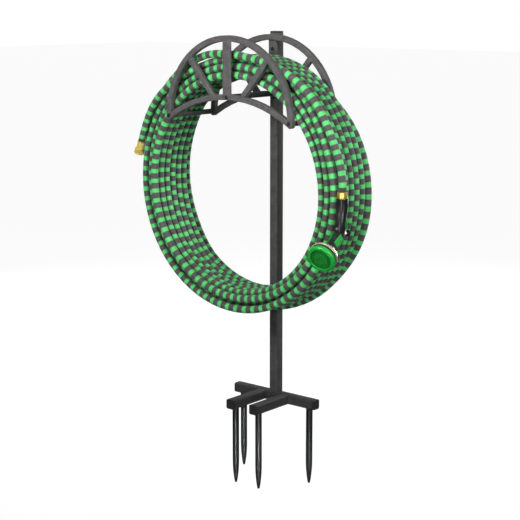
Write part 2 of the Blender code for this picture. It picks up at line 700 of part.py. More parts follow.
def build_nozzle_body(place, head):
    """The black casting: a tapered grip with the hose socket, the barrel, and a forked rear for the lever."""
    top = -OUTLET_LENGTH - 2 * GAP
    grip = (
        (0.000, top, 0.0150), (0.000, top - 0.002, 0.0160), (0.000, top - 0.016, 0.0160),
        (0.002, top - 0.030, 0.0154), (0.006, top - 0.045, 0.0146), (0.010, top - 0.060, 0.0142),
        (0.012, top - 0.078, 0.0148), (0.012, top - 0.090, 0.0140),
    )
    body = tapered("nozzle_body", grip, place)
    rear = ((0.014, -0.114, 0.0135), (-0.002, -0.112, 0.0125), (-LEVER_BACK + 0.004, LEVER_UP, 0.0095))
    combine(body, tapered("barrel_rear", rear, place), "UNION")
    # the barrel, on the head's axis: the core that carries the dial, the flare, the neck and its round end
    barrel = [
        (0, -0.0062), (0.0225, -0.0062), (0.0225, -0.0263), (0.0285, -0.0263), (0.0290, -0.0285),
        (0.0240, -0.0345), (0.0180, -0.0420), (0.0148, -0.0560), (0.0140, -0.0800), (0.0150, -0.1020),
        (0.0152, -0.1220), (0.0135, -0.1310), (0.0085, -0.1370), (0, -0.1390),
    ]
    combine(body, turned("barrel", barrel, "black_plastic", 24, parent=head), "UNION")
    pivot = (0, LEVER_BACK, LEVER_UP)
    boss = rod_cutter("lever_boss", LEVER_BOSS, 2 * LEVER_HALF_WIDTH, pivot, ALONG_X, place, 20)
    combine(body, boss, "UNION")
    socket = [(0, top + 0.002), (0.0130, top + 0.002), (0.0130, top - 0.0140), (0, top - 0.0140)]
    combine(body, turned("grip_socket", socket, "black_plastic", 20, parent=place), "DIFFERENCE")
    # the slot for the thumb lever, open to the back and the top
    reach = 0.0082
    combine(body, rod_cutter("lever_slot", reach, LEVER_SLOT, pivot, ALONG_X, place, 20), "DIFFERENCE")
    opening = box("lever_slot_mouth", (LEVER_SLOT - 0.0002, 0.022, 0.026), "black_plastic",
                  (0, LEVER_BACK + 0.001, LEVER_UP + 0.013), parent=place)
    combine(body, opening, "DIFFERENCE")
    hole = rod_cutter("lever_pin_hole", 0.0020 + GAP, 0.040, pivot, ALONG_X, place)
    combine(body, hole, "DIFFERENCE")
    # flats on both sides of the barrel take the green inlays
    for side, lean in inlay_sides():
        seat = frame_at(f"inlay_seat_{side}", (0, 0, -INLAY_BACK), turn=(0, 0, lean), parent=head)
        flat = box(f"inlay_flat_{side}", (0.010, 0.0190, 0.0430), "black_plastic",
                   (INLAY_FLAT + 0.005, 0, 0), parent=seat)
        combine(body, flat, "DIFFERENCE")


def inlay_sides():
    """Where the two inlays face, as turns about the head's axis."""
    lean = math.radians(INLAY_LEAN)
    return ("right", lean), ("left", math.pi - lean)


def build_head(head):
    """What stacks on the barrel's core: metal ring, gasket, pattern dial and spray face."""
    core = 0.0225 + 0.0006
    ring = [(0.0375, -0.0173), (0.0380, -0.0190), (0.0310, -0.0258), (core, -0.0258), (core, -0.0173)]
    turned("head_ring", ring, "gold_ring", 32, parent=head, closed=True)
    gasket = [(0.0392, -0.0113), (0.0396, -0.0130), (0.0392, -0.0170), (core, -0.0170), (core, -0.0113)]
    turned("head_gasket", gasket, "rubber", 32, parent=head, closed=True)
    dial = [
        (FACE_RADIUS + 0.0016, 0.0), (FACE_RADIUS + 0.0030, -0.0010), (DIAL_RADIUS, -0.0065),
        (DIAL_RADIUS, -0.0110), (core, -0.0110), (core, -0.0070), (FACE_RADIUS - 0.002, -0.0070),
        (FACE_RADIUS, -0.0052), (FACE_RADIUS, 0.0),
    ]
    turned("pattern_dial", dial, "green_plastic", 32, parent=head, closed=True)
    holes = [circle(0.0011, 6, spot) for spot in spray_holes()]
    plate("spray_face", [circle(FACE_RADIUS - GAP, 32), *holes], 0.0030, "green_plastic",
          (0, 0, -0.0033), parent=head)


def spray_holes():
    """Rings of jets round the middle of the face."""
    rings = ((0.0055, 5), (0.0130, 10), (0.0270, 20))
    return [spot for radius, count in rings for spot in circle(radius, count)]


def build_controls(place, head):
    """Green inlays on the barrel, the thumb lever on its pin, and a lock button in the crook."""
    outline = [(-0.0205, -0.0085), (0.0190, -0.0085), (0.0205, 0.0085), (-0.0190, 0.0085)]
    for side, lean in inlay_sides():
        seat = frame_at(f"inlay_frame_{side}", (0, 0, -INLAY_BACK), turn=(0, 0, lean), parent=head)
        plate(f"nozzle_inlay_{side}", [outline], 0.0022, "green_plastic",
              (INLAY_FLAT + GAP + 0.0011, 0, 0), ALONG_X, seat, 0.0005)
    pivot = frame_at("lever_frame", (0, LEVER_BACK, LEVER_UP), parent=place)
    # the lever's outlines are drawn in its frame, as (back, up) from the pin
    upright = (math.radians(90), 0, math.radians(90))
    root = [*arc_points(0.0068, 160, 380, 14), (0.0030, 0.0110), (-0.0030, 0.0130), (-0.0052, 0.0090)]
    arm = settled(plate("thumb_lever", [root, circle(0.0020 + GAP, 12)], 0.0080, "green_plastic",
                        turn=upright, parent=pivot))
    bend, thick = 0.0250, 0.0042
    outer = arc_points(bend + thick / 2, 150, 205, 9, (0.0215, 0.0225))
    inner = arc_points(bend - thick / 2, 205, 150, 9, (0.0215, 0.0225))
    pad = settled(plate("thumb_pad", [outer + inner], 0.0150, "green_plastic", turn=upright, parent=pivot,
                        edge=0.0008))
    combine(arm, pad, "UNION")
    turned("lever_pin", [(0, 0.0112), (0.0020, 0.0112), (0.0020, -0.0112), (0, -0.0112)], "dark_steel", 12,
           turn=ALONG_X, parent=pivot)
    button = [(0, 0.0035), (0.0030, 0.0035), (0.0038, 0.0027), (0.0038, 0.0), (0, 0.0)]
    turned("lock_button", button, "grey_plastic", 16, (0, -0.0274, -0.094), ALONG_Y, place)


build_base()
build_post()
build_cradle()
build_hose()
build_inlet()
build_nozzle()
print(len(parts.objects), "parts")
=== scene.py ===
import json
import math

import bmesh
import bpy
import numpy as np
from mathutils import Matrix, Vector

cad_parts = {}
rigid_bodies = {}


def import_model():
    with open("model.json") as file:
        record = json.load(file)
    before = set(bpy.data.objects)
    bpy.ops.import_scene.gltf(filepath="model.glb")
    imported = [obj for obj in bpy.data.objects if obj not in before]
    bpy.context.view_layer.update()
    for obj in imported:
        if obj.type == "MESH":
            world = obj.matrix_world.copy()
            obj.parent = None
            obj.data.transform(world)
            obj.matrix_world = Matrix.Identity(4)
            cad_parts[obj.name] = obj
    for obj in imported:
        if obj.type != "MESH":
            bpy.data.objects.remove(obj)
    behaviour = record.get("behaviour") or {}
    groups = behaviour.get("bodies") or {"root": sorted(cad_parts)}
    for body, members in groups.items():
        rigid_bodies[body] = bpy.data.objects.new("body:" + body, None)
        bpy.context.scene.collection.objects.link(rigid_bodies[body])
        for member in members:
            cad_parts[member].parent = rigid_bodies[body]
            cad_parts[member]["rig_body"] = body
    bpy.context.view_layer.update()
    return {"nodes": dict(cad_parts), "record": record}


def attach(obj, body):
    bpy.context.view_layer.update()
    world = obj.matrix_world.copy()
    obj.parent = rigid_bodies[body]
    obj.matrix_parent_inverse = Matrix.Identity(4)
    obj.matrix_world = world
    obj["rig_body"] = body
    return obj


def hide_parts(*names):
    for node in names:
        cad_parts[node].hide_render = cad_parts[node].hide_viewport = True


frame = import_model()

bpy.context.scene.view_settings.view_transform = "Standard"
print("frame loaded:", len(frame["nodes"]), "nodes")


# camera, floor and light

cameraSettings = {
    # fitted to the stand's straight edges and to the two fans
    "place": (2.4948, -3.0545, 1.1873), "turn": (79.106, 0.0, 39.941), "lens": 94.03, "sensor": 36.0,
}


def placeCamera(settings):
    turn = [math.radians(angle) for angle in settings["turn"]]
    bpy.ops.object.camera_add(location=settings["place"], rotation=turn)
    camera = bpy.context.object
    camera.name = "photoCamera"
    camera.data.lens = settings["lens"]
    camera.data.sensor_width = settings["sensor"]
    bpy.context.scene.camera = camera


placeCamera(cameraSettings)

studioSettings = {
    # the floor and the sky look brighter to the camera than the light that they give
    "floorHeight": -0.2335, "floorSize": 60, "floorColour": (0.14, 0.14, 0.14), "floorRoughness": 0.9,
    "floorSpecular": 0.1, "floorGlow": 0.0, "floorSeen": 0.93,
    "skyLight": 0.12, "skyShine": 0.34, "skySeen": 1.0,
    "lights": [
        # name, place, aim, width, height, spread in degrees, power, tint
        ("keyLight", (0.15, -2.4, 1.7), (0.0, -0.2, 0.95), 0.7, 0.6, 60, 6.5, (1.0, 0.99, 0.98)),
        ("frontLight", (1.7, -3.2, 0.5), (0.0, -0.1, 0.40), 0.5, 1.2, 180, 17.0, (1.0, 1.0, 1.0)),
        ("sideLight", (2.9, -0.9, 1.5), (0.0, -0.1, 0.95), 0.8, 1.0, 46, 4.5, (0.98, 0.99, 1.0)),
        ("topLight", (0.2, 0.1, 3.0), (0.0, -0.1, 0.8), 1.0, 1.0, 180, 3.0, (1.0, 1.0, 1.0)),
        ("spikeLight", (0.95, -1.22, -0.13), (0.0, -0.05, -0.205), 0.36, 0.04, 18, 1.0, (1.0, 1.0, 1.0)),
        ("leftLight", (-3.2, 0.9, 1.0), (0.0, 0.0, 0.6), 1.2, 1.4, 180, 24.0, (0.98, 0.99, 1.0)),
        ("backLight", (0.3, 3.3, 0.9), (0.0, 0.0, 0.6), 1.2, 1.4, 180, 62.0, (0.98, 0.99, 1.0)),
    ],
}


def nodeIn(tree, kind, inputs=None, **settings):
    made = tree.nodes.new(kind)
    for name, value in settings.items():
        setattr(made, name, value)
    for name, value in (inputs or {}).items():
        if isinstance(value, bpy.types.NodeSocket):
            tree.links.new(value, made.inputs[name])
        else:
            made.inputs[name].default_value = value
    return made


def buildFloor(settings):
    bpy.ops.mesh.primitive_plane_add(size=settings["floorSize"], location=(0, 0, settings["floorHeight"]))
    floor = bpy.context.object
    floor.name = "paleFloor"
    paint = bpy.data.materials.new("paleFloor")
    paint.use_nodes = True
    shader = paint.node_tree.nodes["Principled BSDF"]
    shader.inputs["Base Color"].default_value = (*settings["floorColour"], 1)
    shader.inputs["Roughness"].default_value = settings["floorRoughness"]
    shader.inputs["Specular IOR Level"].default_value = settings["floorSpecular"]
    shader.inputs["Emission Color"].default_value = (1, 1, 1, 1)
    ray = nodeIn(paint.node_tree, "ShaderNodeLightPath")
    glow = nodeIn(paint.node_tree, "ShaderNodeMapRange", {
        "Value": ray.outputs["Is Camera Ray"],
        "To Min": settings["floorGlow"], "To Max": settings["floorSeen"]})
    paint.node_tree.links.new(glow.outputs["Result"], shader.inputs["Emission Strength"])
    floor.data.materials.append(paint)


def buildSky(settings):
    sky = bpy.data.worlds.new("studioSky")
    sky.use_nodes = True
    tree = sky.node_tree
    lit = tree.nodes["Background"]
    lit.inputs["Color"].default_value = (1, 1, 1, 1)
    path = nodeIn(tree, "ShaderNodeLightPath")
    unseen = nodeIn(tree, "ShaderNodeMapRange", {
        "Value": path.outputs["Is Glossy Ray"],
        "To Min": settings["skyLight"], "To Max": settings["skyShine"]})
    strength = nodeIn(tree, "ShaderNodeMapRange", {
        "Value": path.outputs["Is Camera Ray"],
        "To Min": unseen.outputs["Result"], "To Max": settings["skySeen"]})
    tree.links.new(strength.outputs["Result"], lit.inputs["Strength"])
    bpy.context.scene.world = sky


def hangLights(settings):
    for name, place, aim, width, height, spread, power, tint in settings["lights"]:
        bpy.ops.object.light_add(type="AREA", location=place)
        lamp = bpy.context.object
        lamp.name = name
        lamp.data.shape = "RECTANGLE"
        lamp.data.size = width
        lamp.data.size_y = height
        lamp.data.spread = math.radians(spread)
        lamp.visible_camera = False
        lamp.data.energy = power
        lamp.data.color = tint
        lamp.rotation_euler = (Vector(aim) - Vector(place)).to_track_quat("-Z", "Y").to_euler()


buildFloor(studioSettings)
buildSky(studioSettings)
hangLights(studioSettings)
print("studio ready")


# the hose

hoseSettings = {
    # metres and degrees; turns are counted from the inlet end
    "diameter": 0.0215, "coilHeight": 0.669, "firstRadius": 0.3095, "layerStep": 0.0220, "pitch": 0.0226,
    "frontLoop": -0.1912, "rearLoop": -0.0416, "inletAngle": 161.4,
    "outerTurns": 5.0, "middleTurns": 5.45, "innerTurns": 5.55, "climbTurns": 0.5, "climbSwing": 1.5,
    "lastTurn": 19.0, "leaveTurns": 19.375,
    # a window is where an eased change starts, and how long it takes, in turns;
    # drawBack is in pitches, and each loop behind draws back by drawBackLess less
    "drawBack": 1.3, "drawBackLess": 0.0004,
    "drawBackStarts": (0.03, 0.16), "drawBackEnds": (0.24, 0.15),
    "tailRolls": (100, 180), "tailRollWindow": (0, 0.14), "tailLift": 0.003, "inletWindow": (0, 0.08),
    "innerWindow": (0.4, 0.3), "rearWindow": (0, 0.38), "joinWindow": (1.24, 0.26),
    "finalClimbs": [(0, 0.5), (0.75, 0.3), (1.03, 0.24)],
    # how far round the tail the last turn lies, in degrees: 0 is behind it and 90 is outside it
    "overTail": 0.0246, "lastRolls": (-4, 22, 158, 90),
    "lastWindows": [(-0.02, 0.1), (0.045, 0.175), (0.225, 0.15)],
    # the rear loops stand back at the sides, in a window of the cosine
    "swell": 0.012, "swellWindow": (0.62, 0.36), "fuller": 0.0029, "fullerInlet": 0.0086,
    "nozzleEnd": (0.382, -0.193, 0.6865), "leaveSwing": 0.6, "leaveRadius": 0.35,
    "pointsPerTurn": 72, "sides": 18,
    # the gap between turns that is darkened as painted shade, and how the other turns near a ring are
    # looked for
    "creaseReach": 0.0100, "creaseSteps": 8, "creaseNear": 2.6, "creaseApart": 3,
}


def portion(value, window):
    start, length = window
    return min(1.0, max(0.0, (value - start) / length))


def ease(share):
    return share * share * (3 - 2 * share)


def eased(value, window):
    return ease(portion(value, window))


def outerDepth(turns, hose):
    # the outer loops draw back at the top, where the last turn dips in front of them
    part = turns % 1.0
    wave = eased(part, hose["drawBackStarts"]) * (1 - eased(part, hose["drawBackEnds"]))
    back = wave * (hose["drawBack"] * hose["pitch"] - hose["drawBackLess"] * round(turns - part))
    return hose["frontLoop"] + (turns - hose["climbTurns"]) * hose["pitch"] + back


def tailPlace(turns, hose):
    # the first turn starts on the outside of the next one and rolls over to its front side
    outer = hose["firstRadius"] + 2 * hose["layerStep"]
    if turns > hose["climbTurns"]:
        return outer, outerDepth(turns, hose)
    first, last = hose["tailRolls"]
    roll = math.radians(first + (last - first) * eased(turns, hose["tailRollWindow"]))
    lift = hose["tailLift"] * (1 - eased(turns, hose["inletWindow"]))
    across = outerDepth(turns + 1, hose) + hose["pitch"] * math.cos(roll)
    return outer + hose["pitch"] * math.sin(roll) + lift, across


def lastPlace(turns, hose):
    # the last turn passes over the tail, dips in front of it at the top and comes out over it
    part = turns - hose["lastTurn"]
    radius, depth = tailPlace(part, hose)
    rolls = hose["lastRolls"]
    roll = rolls[0]
    for before, after, window in zip(rolls, rolls[1:], hose["lastWindows"]):
        roll += (after - before) * eased(part, window)
    roll = math.radians(roll)
    return radius + hose["overTail"] * math.sin(roll), depth + hose["overTail"] * math.cos(roll)


def loopPlace(turns, hose):
    # radius and depth of the coil after so many turns from the inlet end
    pitch, step, climb = hose["pitch"], hose["layerStep"], hose["climbTurns"]
    inner, middle, outer = (hose["firstRadius"] + step * k for k in range(3))
    stages = np.cumsum([climb, hose["outerTurns"], climb, hose["middleTurns"], climb, hose["innerTurns"]])
    rear = hose["frontLoop"] + hose["outerTurns"] * pitch
    front = rear + (climb - hose["middleTurns"]) * pitch
    last = front + hose["innerTurns"] * pitch
    if turns < stages[0]:
        return tailPlace(turns, hose)
    if turns < stages[1]:
        return outer, outerDepth(turns, hose)
    if turns < stages[2]:
        # in to the middle layer, round behind the rear loops
        share = (turns - stages[1]) / climb
        swing = hose["climbSwing"] * (share - share * share)
        return outer - step * ease(share), rear + pitch * (share / 2 + swing)
    if turns < stages[3]:
        return middle, rear + (climb - turns + stages[2]) * pitch
    if turns < stages[4]:
        # in to the inner layer, at the front
        share = (turns - stages[3]) / climb
        return middle - step * ease(share), front - pitch / 2 * (share - share * share)
    if turns < stages[5]:
        past = turns - stages[4]
        return inner, front + past * eased(past, hose["innerWindow"]) * pitch
    if turns >= hose["lastTurn"]:
        return lastPlace(turns, hose)
    # out again over the rear loops, to where the last turn starts
    past = turns - stages[5]
    climbs = sum(eased(past, window) for window in hose["finalClimbs"])
    depth = last + (hose["rearLoop"] - last) * eased(past, hose["rearWindow"])
    share = portion(past, hose["joinWindow"])
    radiusOver, depthOver = lastPlace(hose["lastTurn"], hose)
    lift = radiusOver - inner - 3 * step
    across = (depthOver - depth) * (share + ease(share)) / 2
    return inner + step * climbs + lift * ease(share), depth + across


def coilPoint(turns, hose):
    radius, depth = loopPlace(turns, hose)
    angle = math.radians(hose["inletAngle"]) - math.tau * turns
    # a little fuller toward the inlet, to meet its ferrule
    towardInlet = 1 - eased(turns, hose["inletWindow"])
    radius *= 1 + hose["fuller"] + (hose["fullerInlet"] - hose["fuller"]) * towardInlet
    side = eased(abs(math.cos(angle)), hose["swellWindow"])
    depth += hose["swell"] * side * (depth - hose["frontLoop"]) / (hose["rearLoop"] - hose["frontLoop"])
    return Vector((radius * math.cos(angle), depth, hose["coilHeight"] + radius * math.sin(angle)))


def hoseRoute(hose):
    perTurn = hose["pointsPerTurn"]
    start = math.radians(hose["inletAngle"])
    count = round(hose["leaveTurns"] * perTurn)
    points = [coilPoint(i / perTurn, hose) for i in range(count + 1)]
    onward = Vector((math.sin(start), 0, -math.cos(start)))
    points.insert(0, points[0] - onward * hose["diameter"])
    # the last stretch swings out from the coil and hangs straight down to the nozzle
    x, y, z = hose["nozzleEnd"]
    last, end = points[-1], Vector((x, y, z + hose["diameter"]))
    reach = (end - last).length
    angle = start - math.tau * count / perTurn
    sideways = (end.y - last.y) / reach * hose["leaveSwing"]
    leave = Vector((math.sin(angle), sideways, -math.cos(angle))) * reach
    arrive = Vector((0, 0, -reach))
    pieces = round(reach / (math.tau * hose["leaveRadius"] / perTurn))
    for i in range(1, pieces + 1):
        s = i / pieces
        points.append(last * (2 * s**3 - 3 * s**2 + 1) + leave * (s**3 - 2 * s**2 + s)
                      + end * (3 * s**2 - 2 * s**3) + arrive * (s**3 - s**2))
    points.append(Vector((x, y, z)))
    return points


def sweptTube(name, points, radius, sides):
    # rings square to the route, and a UV map of turns round the hose against metres along it
    line = np.array([list(p) for p in points])
    steps = np.gradient(line, axis=0)
    steps /= np.linalg.norm(steps, axis=1)[:, None]
    along = np.concatenate([[0], np.cumsum(np.linalg.norm(np.diff(line, axis=0), axis=1))])
    sideways = np.array((0.0, 1.0, 0.0)) - steps * steps[:, 1:2]
    sideways /= np.linalg.norm(sideways, axis=1)[:, None]
    outward = np.cross(steps, sideways)
    angles = np.arange(sides) / sides * math.tau
    rings = (line[:, None] + radius * (np.cos(angles)[None, :, None] * sideways[:, None]
                                       + np.sin(angles)[None, :, None] * outward[:, None]))
    mesh = bpy.data.meshes.new(name)
    shape = bmesh.new()
    corners = [[shape.verts.new(p) for p in ring] for ring in rings]
    lay = shape.loops.layers.uv.new("hoseLine")
    for i in range(len(corners) - 1):
        for j in range(sides):
            k = (j + 1) % sides
            face = shape.faces.new((corners[i][j], corners[i][k], corners[i + 1][k], corners[i + 1][j]))
            face.smooth = True
            for loop, (u, v) in zip(face.loops, ((j, i), (j + 1, i), (j + 1, i + 1), (j, i + 1))):
                loop[lay].uv = (u / sides, along[v])
    for ring, order in ((corners[0], -1), (corners[-1], 1)):
        cap = shape.faces.new(ring[::order])
        for loop in cap.loops:
            loop[lay].uv = (0.5, along[0] if order < 0 else along[-1])
    bmesh.ops.recalc_face_normals(shape, faces=shape.faces)
    shape.to_mesh(mesh)
    shape.free()
    tube = bpy.data.objects.new(name, mesh)
    bpy.context.scene.collection.objects.link(tube)
    return tube, float(along[-1])


def markCreaseShade(tube, points, hose):
    # how deep each point lies between turns that touch, for the painted shade in the creases between them
    line = np.array([list(p) for p in points])
    steps, sides = hose["creaseSteps"], hose["sides"]
    shares = np.arange(steps)[None, :, None] / steps
    fine = (line[:-1, None] * (1 - shares) + line[1:, None] * shares).reshape(-1, 3)
    apart = steps * hose["pointsPerTurn"] // hose["creaseApart"]
    spots = np.empty(len(tube.data.vertices) * 3)
    tube.data.vertices.foreach_get("co", spots)
    rings = spots.reshape(len(points), sides, 3)
    depth = np.zeros((len(points), sides))
    for i, ring in enumerate(rings):
        near = np.linalg.norm(fine - line[i], axis=1) < hose["creaseNear"] * hose["diameter"]
        near[max(0, steps * i - apart):steps * i + apart] = False
        if near.any():
            away = np.linalg.norm(ring[:, None] - fine[near][None], axis=2).min(axis=1)
            gaps = away - hose["diameter"] / 2
            depth[i] = np.clip(1 - gaps / hose["creaseReach"], 0, 1)
    crease = tube.data.attributes.new("crease", "FLOAT", "POINT")
    crease.data.foreach_set("value", depth.ravel())


hosePoints = hoseRoute(hoseSettings)
gardenHose, hoseLength = sweptTube(
    "gardenHose", hosePoints, hoseSettings["diameter"] / 2, hoseSettings["sides"])
markCreaseShade(gardenHose, hosePoints, hoseSettings)
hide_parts("hose_coil")
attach(gardenHose, "hose")
print(f"hose wound: {hoseLength:.2f} m")


# finishes

effectSettings = {
    # a noise has its detail and roughness, and a range is the part of it that counts
    "fineNoise": (2.0, 0.55), "coarseNoise": (5.0, 0.6), "coarseRange": (0.32, 0.68),
    "chipNoise": (4.0, 0.65), "chipRange": (0.48, 0.62), "chipScale": 70.0,
    "dustNoise": (6.0, 0.7), "dustRange": (0.35, 0.75), "dustScale": 9.0, "dustColour": (0.36, 0.34, 0.31),
    # how far up a surface has to face for dust to lie on it, and how much rougher the dust is
    "dustSlope": (0.35, 1.0), "dustRoughness": 0.5,
    "bumpDepth": 0.0004,
}


def newGroup(name, inputs, outputs):
    group = bpy.data.node_groups.new(name, "ShaderNodeTree")
    for labels, side in ((inputs, "INPUT"), (outputs, "OUTPUT")):
        for label in labels:
            group.interface.new_socket(name=label, in_out=side, socket_type="NodeSocketFloat")
    return group, nodeIn(group, "NodeGroupInput"), nodeIn(group, "NodeGroupOutput")


def mathIn(tree, kind, *values, clamp=False):
    made = nodeIn(tree, "ShaderNodeMath", dict(enumerate(values)), operation=kind, use_clamp=clamp)
    return made.outputs["Value"]


def noiseIn(tree, scale, look):
    where = nodeIn(tree, "ShaderNodeTexCoord")
    detail, roughness = look
    noise = nodeIn(tree, "ShaderNodeTexNoise", {
        "Vector": where.outputs["Object"], "Scale": scale, "Detail": detail, "Roughness": roughness})
    return noise.outputs["Fac"]


def rangeIn(tree, value, before=(0.0, 1.0), after=(0.0, 1.0)):
    made = nodeIn(tree, "ShaderNodeMapRange", {
        "Value": value, "From Min": before[0], "From Max": before[1],
        "To Min": after[0], "To Max": after[1]})
    return made.outputs["Result"]


def buildGrainGroup(effect):
    # fine and coarse unevenness: a height for bumps, and a mask for colour and gloss
    group, given, made = newGroup("surfaceGrain", ["Fine Scale", "Coarse Scale"], ["Height", "Mask"])
    fine = noiseIn(group, given.outputs["Fine Scale"], effect["fineNoise"])
    coarse = noiseIn(group, given.outputs["Coarse Scale"], effect["coarseNoise"])
    group.links.new(fine, made.inputs["Height"])
    group.links.new(rangeIn(group, coarse, effect["coarseRange"]), made.inputs["Mask"])
    return group


def buildWearGroup(effect):
    # rubbed paint on the softened edges, which carry the attribute rub
    group, given, made = newGroup("rubbedEdges", ["Amount", "Scale"], ["Mask"])
    edge = nodeIn(group, "ShaderNodeAttribute", attribute_name="rub")
    chips = noiseIn(group, given.outputs["Scale"], effect["chipNoise"])
    onEdge = mathIn(group, "MULTIPLY", rangeIn(group, chips, effect["chipRange"]), edge.outputs["Fac"])
    share = mathIn(group, "MULTIPLY", onEdge, given.outputs["Amount"])
    group.links.new(share, made.inputs["Mask"])
    return group


def buildDustGroup(effect):
    # dust that lies where a surface faces up
    group, given, made = newGroup("settledDust", ["Amount", "Scale"], ["Mask"])
    where = nodeIn(group, "ShaderNodeTexCoord")
    facing = nodeIn(group, "ShaderNodeSeparateXYZ", {"Vector": where.outputs["Normal"]})
    up = rangeIn(group, facing.outputs["Z"], effect["dustSlope"])
    noise = noiseIn(group, given.outputs["Scale"], effect["dustNoise"])
    patches = rangeIn(group, noise, effect["dustRange"])
    share = mathIn(group, "MULTIPLY", mathIn(group, "MULTIPLY", up, patches), given.outputs["Amount"])
    group.links.new(share, made.inputs["Mask"])
    return group


grainGroup = buildGrainGroup(effectSettings)
wearGroup = buildWearGroup(effectSettings)
dustGroup = buildDustGroup(effectSettings)

finishSettings = {
    # variation is how far the colour goes either way, as a share, and clouds is the scale of that;
    # grain is the scale of the bumps
    "powderCoat": {
        "colour": (0.071, 0.068, 0.069), "variation": 0.22, "metallic": 0.0,
        "roughness": (0.50, 0.62), "bump": 0.36, "grain": 430.0, "clouds": 48.0,
        "wear": 0.35, "wornColour": (0.22, 0.22, 0.22), "dust": 0.05,
        "shader": {"Specular IOR Level": 0.30},
    },
    # a darker copy of the powder coat for the base, painted shade for the dimmer light low down
    "baseCoat": {
        "colour": (0.051, 0.049, 0.050), "variation": 0.22, "metallic": 0.0,
        "roughness": (0.50, 0.62), "bump": 0.36, "grain": 430.0, "clouds": 48.0,
        "wear": 0.35, "wornColour": (0.19, 0.19, 0.19), "dust": 0.05,
        "shader": {"Specular IOR Level": 0.25},
    },
    # a lighter copy of the powder coat for the fans, painted light for the brighter light up high
    "cradleCoat": {
        "colour": (0.093, 0.089, 0.090), "variation": 0.26, "metallic": 0.0,
        "roughness": (0.42, 0.56), "bump": 0.40, "grain": 430.0, "clouds": 60.0,
        "wear": 0.45, "wornColour": (0.26, 0.26, 0.26), "dust": 0.04,
        "shader": {"Specular IOR Level": 0.30},
    },
    "spikeBlack": {
        "colour": (0.063, 0.063, 0.065), "variation": 0.10, "metallic": 1.0,
        "roughness": (0.29, 0.34), "bump": 0.04, "grain": 900.0, "clouds": 16.0,
        "wear": 0.30, "wornColour": (0.20, 0.20, 0.20), "dust": 0.0,
        "shader": {"Specular Tint": (0.08, 0.08, 0.08, 1.0)},
    },
    "blackCap": {
        "colour": (0.020, 0.020, 0.021), "variation": 0.2, "metallic": 0.0,
        "roughness": (0.40, 0.55), "bump": 0.15, "grain": 1200.0, "clouds": 20.0,
        "wear": 0.25, "wornColour": (0.08, 0.08, 0.08), "dust": 0.20,
        "shader": {"Specular IOR Level": 0.45},
    },
    "blackScrew": {
        "colour": (0.012, 0.012, 0.013), "variation": 0.2, "metallic": 0.60,
        "roughness": (0.28, 0.40), "bump": 0.10, "grain": 1500.0, "clouds": 90.0,
        "wear": 0.30, "wornColour": (0.20, 0.20, 0.20), "dust": 0.03,
        "shader": {"Specular IOR Level": 0.4},
    },
    "brightBrass": {
        "colour": (0.93, 0.62, 0.13), "variation": 0.12, "metallic": 0.80,
        "roughness": (0.24, 0.36), "bump": 0.06, "grain": 1400.0, "clouds": 60.0,
        "wear": 0.35, "wornColour": (0.98, 0.84, 0.50), "dust": 0.04,
        "shader": {},
    },
    # a paler, less metallic copy of the brass for the inlet, painted light where the inlet lies in the
    # lamps' shadow
    "shadedBrass": {
        "colour": (0.96, 0.70, 0.20), "variation": 0.10, "metallic": 0.50,
        "roughness": (0.22, 0.32), "bump": 0.06, "grain": 1400.0, "clouds": 60.0,
        "wear": 0.35, "wornColour": (1.0, 0.90, 0.62), "dust": 0.02,
        "shader": {},
    },
    "paleGold": {
        "colour": (0.96, 0.85, 0.62), "variation": 0.08, "metallic": 0.72,
        "roughness": (0.10, 0.20), "bump": 0.03, "grain": 1400.0, "clouds": 60.0,
        "wear": 0.25, "wornColour": (0.98, 0.93, 0.80), "dust": 0.03,
        "shader": {},
    },
    "gripBlack": {
        "colour": (0.010, 0.010, 0.011), "variation": 0.2, "metallic": 0.0,
        "roughness": (0.18, 0.30), "bump": 0.05, "grain": 1300.0, "clouds": 40.0,
        "wear": 0.20, "wornColour": (0.07, 0.07, 0.07), "dust": 0.06,
        "shader": {"Specular IOR Level": 0.45},
    },
    "nozzleGreen": {
        "colour": (0.012, 0.430, 0.045), "variation": 0.12, "metallic": 0.0,
        "roughness": (0.24, 0.36), "bump": 0.06, "grain": 1300.0, "clouds": 40.0,
        "wear": 0.25, "wornColour": (0.12, 0.62, 0.16), "dust": 0.02,
        "shader": {"Specular IOR Level": 0.45, "Coat Weight": 0.12, "Coat Roughness": 0.1},
    },
    "jetGreen": {
        "colour": (0.014, 0.300, 0.038), "variation": 0.10, "metallic": 0.0,
        "roughness": (0.34, 0.46), "bump": 0.05, "grain": 1300.0, "clouds": 40.0,
        "wear": 0.0, "wornColour": (0.12, 0.62, 0.16), "dust": 0.03,
        "shader": {"Specular IOR Level": 0.45},
    },
    # the jet nubs are real, but their near-black colour is a painted shade for the dark of their bores
    "jetDark": {
        "colour": (0.004, 0.070, 0.012), "variation": 0.15, "metallic": 0.0,
        "roughness": (0.45, 0.60), "bump": 0.05, "grain": 1300.0, "clouds": 60.0,
        "wear": 0.0, "wornColour": (0.05, 0.20, 0.07), "dust": 0.03,
        "shader": {"Specular IOR Level": 0.3},
    },
    "buttonGrey": {
        "colour": (0.20, 0.20, 0.21), "variation": 0.1, "metallic": 0.0,
        "roughness": (0.30, 0.42), "bump": 0.06, "grain": 1300.0, "clouds": 60.0,
        "wear": 0.2, "wornColour": (0.6, 0.6, 0.6), "dust": 0.05,
        "shader": {},
    },
    "washerRubber": {
        "colour": (0.018, 0.018, 0.018), "variation": 0.25, "metallic": 0.0,
        "roughness": (0.65, 0.85), "bump": 0.20, "grain": 1100.0, "clouds": 50.0,
        "wear": 0.1, "wornColour": (0.06, 0.06, 0.06), "dust": 0.12,
        "shader": {"Specular IOR Level": 0.3},
    },
}


def grouped(tree, group, **values):
    made = nodeIn(tree, "ShaderNodeGroup", node_tree=group)
    for name, value in values.items():
        made.inputs[name.replace("_", " ")].default_value = value
    return made


